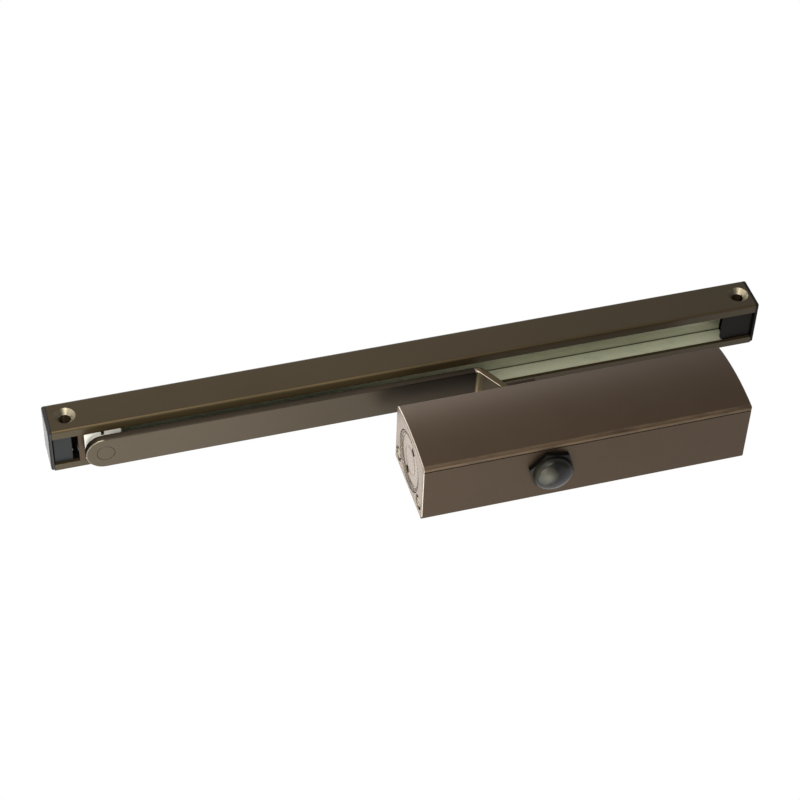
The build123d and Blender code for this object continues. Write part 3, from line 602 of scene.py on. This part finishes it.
# Painted highlights: the crank's slope is painted lighter, and the inner curve of its bend lighter
# still.
crank = x.between(bend_x - 0.0015, bend_x + crank_run, 0.0015)
colour = (crank * 0.35).blend(colour, srgb(100, 86, 60))
inner_bend = x.between(bend_x - 0.0011, bend_x + 0.0019, 0.0012)
colour = (inner_bend * 0.4).blend(colour, srgb(126, 110, 84))
# Painted highlight: a bright line along the crank's lower front edge.
from_slope = (x - bend_x) * slope_x + (z - bend_z) * slope_z
slope_edge_highlight = crank * (1 - from_slope.over(0.0004, 0.0002)) * (1 - y.over(arm_front, 0.0002))
colour = (slope_edge_highlight * 0.7).blend(colour, srgb(222, 208, 192))
# Painted highlight: a pale line round the lower edge of the arm's rounded end.
round_end_highlight = from_round.over(round_edge, 0.0003) * (1 - x.over(round_x, 0.001))
round_end_highlight = round_end_highlight * (1 - z.over(arm_low, 0.0002))
colour = (dust * 0.8).blend(colour, srgb(190, 184, 172))
colour = (round_end_highlight * 0.42).blend(colour, srgb(196, 184, 164))
dress(arm_shader, colour, roughness + rolled * 0.07 + dust * 0.2 - 0.12, height + rolled * 0.35)
wear("slide_arm", arm_paint)
wear("arm_pivot_pin", arm_paint)


# Pivot washer and slide block
# White acetal. The block is moulded, with a matt slide face and a notch at each side that is
# painted near black as shade. The washer keeps the arm off the rail.
pin_x, notch_half, notch_inner, notch_top = -0.3033, 0.00104, 0.0076, 0.0673
block_plastic, block_shader, place = new_material("block_plastic", Metallic=0.0)
x, y, z = place.parts()
flow = place.noise(0.007, 3.0, 0.55)
scuffs = place.stretched(0.08, 1, 1).noise(0.0005, 3.0, 0.7)
slide_marks = scuffs.over(0.58, 0.1) * 0.35
grime = place.noise(0.004, 4.0, 0.65).over(0.62, 0.16)
colour = (flow * 0.7).blend(srgb(232, 230, 222), srgb(250, 249, 245))
colour = (slide_marks * 0.3 + grime * 0.14).blend(colour, srgb(150, 145, 132))
# Painted shade: the notches at the sides of the block are painted near black.
notch_shade = (1 - (x - pin_x).size().over(notch_half, 0.00002)) * (1 - z.over(notch_top, 0.0001))
notch_shade = notch_shade * (y - spindle_y).size().over(notch_inner, 0.0001)
colour = (notch_shade * 0.97).blend(colour, srgb(14, 12, 10))
dress(block_shader, colour, 0.34 + flow * 0.14 + slide_marks * 0.2, scuffs * 0.4 + flow, 0.00002)
wear("slide_block", block_plastic)
wear("pivot_washer", moulded("washer_plastic", srgb(222, 220, 210), srgb(244, 243, 236), 0.4))


# Guide rail
# Extruded aluminium channel, bronze anodised outside. The channel that the block runs in
# is bare, with draw lines along it and a film of old grease. Painted shade darkens the
# channel's web and back corner, its left part under the arm, all of it past the stops, the
# screw holes, the countersinks' left sides and the right countersink, and the outside towards
# the right. A painted highlight runs along the front lower edge.
rail_front, rail_back, rail_low = -0.04415, -0.00845, 0.06475
rail_wall, lip, channel_top = 0.0037, 0.0026, 0.08025
rail_centre, cut_half, stop_half = -0.09, 0.246, 0.22715
screw_middle, screw_spread, screw_z = -0.08865, 0.2366, 0.07835
screw_radius, sink_radius, ring_pitch = 0.0034, 0.0074, 0.00022
rail_finish, rail_shader, place = new_material("rail_finish", Specular_IOR_Level=0.14)
x, y, z = place.parts()
drawn = place.stretched(0.012, 1, 1).noise(0.0006, 3.0, 0.65)
wide_lines = place.stretched(0.006, 1, 1).noise(0.0028, 2.0, 0.5)
flake = place.cells(0.00025)
cloud = place.noise(0.05, 3.0, 0.6)
outside = (cloud * 0.35 + flake * 0.25 + drawn * 0.2).blend(srgb(57, 47, 30), srgb(67, 56, 37))
grease = place.stretched(0.35, 1, 1).noise(0.006, 4.0, 0.65)
bare = (drawn * 0.35 + wide_lines * 0.35 + grease * 0.3).blend(
    srgb(180, 183, 160), srgb(220, 221, 199))
bare = (grease.over(0.6, 0.2) * 0.3).blend(bare, srgb(128, 140, 112))
# Painted shade: the web, the channel's ceiling, is painted darker.
bare = (z.over(channel_top - 0.0004, 0.0002) * 0.3).blend(bare, srgb(120, 120, 96))
# Painted shade: a dark line in the inner corner between the back wall and the web.
back_corner_shade = y.over(rail_back - rail_wall - 0.0005, 0.0002) * z.over(channel_top - 0.0008, 0.0002)
bare = (back_corner_shade * 0.75).blend(bare, srgb(58, 54, 34))
channel = (y.between(rail_front + rail_wall - 0.0003, rail_back - rail_wall + 0.0009, 0.0003)
           * z.between(rail_low + lip - 0.0001, channel_top + 0.0003, 0.0002))
# Painted shade: the channel is painted darker towards the left, where the arm shades it.
under_arm_shade = 1 - x.over(-0.12, 0.07)
bare = (under_arm_shade * 0.5).blend(bare, srgb(58, 68, 48))
from_middle = (x - screw_middle).size()
# Painted shade: the channel past each stop is painted near black, and made rougher.
shade_past_stops = from_middle.over(stop_half, 0.0002)
bare = shade_past_stops.blend(bare, srgb(16, 12, 11))
# Painted highlight along the rounded front lower edge, strongest at the left, broken up by noise.
front_edge_highlight = (1 - y.over(rail_front + 0.0009, 0.0004)) * (1 - z.over(rail_low + 0.0012, 0.0005))
front_edge_highlight = front_edge_highlight * (cloud * 0.5 + drawn * 0.5 + 0.15) * (1 - x.over(-0.06, 0.16) * 0.75)
outside = (front_edge_highlight * 0.5).blend(outside, srgb(126, 109, 78))
# Painted shade: the outside is painted darker towards the right.
outside = (x.over(0.02, 0.3) * 0.33).blend(outside, srgb(30, 24, 14))
colour = channel.blend(outside, bare)
from_screw = ((z - screw_z) ** 2 + (from_middle - screw_spread) ** 2) ** 0.5
bored = 1 - from_screw.over(sink_radius, 0.0001)
bored = bored * y.between(rail_front + 0.00015, rail_front + rail_wall, 0.0001)
cutter_rings = y.maths("PINGPONG", y, ring_pitch) * (0.99 / ring_pitch)
# Bare metal in the countersinks, with painted shade: the right one is painted dimmer, and the left
# side of each dark.
right_hole = x.over(screw_middle, 0.001)
bright_metal = bored * (0.66 + cutter_rings * 0.12 - right_hole * 0.25)
colour = bright_metal.blend(colour, srgb(190, 180, 154))
right_of_screw = x - (screw_middle - screw_spread) - right_hole * (2 * screw_spread)
countersink_shade = bored * (1 - right_of_screw.over(0.0, 0.0035))
colour = (countersink_shade * 0.8).blend(colour, srgb(40, 33, 23))
cut_end = (x - rail_centre).size().over(cut_half, 0.0002)
colour = (cut_end * 0.9).blend(colour, srgb(16, 14, 11))
# Painted shade: the screw holes below the countersinks are painted near black.
hole = 1 - from_screw.over(screw_radius, 0.0002)
colour = (hole * bored).blend(colour, srgb(20, 17, 13))
roughness = 0.24 + bored * 0.1 + cloud * 0.06 + drawn * 0.04
roughness = roughness + channel * (grease * 0.22 + shade_past_stops * 0.5)
height = drawn * 0.2 + flake * 0.1 + channel * grease
metallic = 0.15 + (bored - countersink_shade * 0.5) * 0.75 + channel * 0.08
dress(rail_shader, colour, roughness, height, 0.00002, metallic)
wear("guide_rail", rail_finish)


# Rail end caps
# Thin moulded caps of black plastic that plug into the ends of the rail. Their rounded
# edges are polished by the mould. The right cap is a darker, duller copy of the plastic,
# painted shade.
wear("rail_end_cap_left",
     moulded("left_cap_plastic", srgb(17, 15, 13), srgb(30, 27, 24), 0.4, 0.0008, 0.3))
# Painted shade: a darker, less glossy copy of the same plastic.
wear("rail_end_cap_right",
     moulded("right_cap_shaded_plastic", srgb(11, 9, 8), srgb(20, 17, 15), 0.5, 0.0008, 0.08))


# Rail fixing fillers and stop
# Moulded plastic blocks that fill the slot behind the screw holes, dark grey at the left and
# painted darker, as shade, in dark brown at the right, and the coated bar across the slot that
# stops the slide block, its faces inside the channel painted near black as shade.
wear("rail_fixing_left",
     moulded("grey_filler", srgb(28, 29, 30), srgb(40, 41, 42), 0.46, 0.0007, 0.15))
# Painted shade: the right filler is painted much darker and browner than the left one.
wear("rail_fixing_right",
     moulded("shaded_brown_filler", srgb(13, 9, 7), srgb(20, 15, 12), 0.5, 0.0007, 0.08))
stop_finish, stop_shader, place = new_material("stop_finish", Metallic=0.94)
colour, roughness, height = bronze_coat(place)
sawn = place.stretched(1, 1, 9).noise(0.0014, 3.0, 0.6)
x, y, z = place.parts()
# Painted shade: the stop's faces inside the channel are painted near black.
colour = (z.over(rail_low + 0.0006, 0.0004) * 0.9).blend(colour, srgb(16, 14, 12))
dress(stop_shader, colour, roughness + sawn * 0.1, height + sawn * 0.5)
wear("rail_stop", stop_finish)
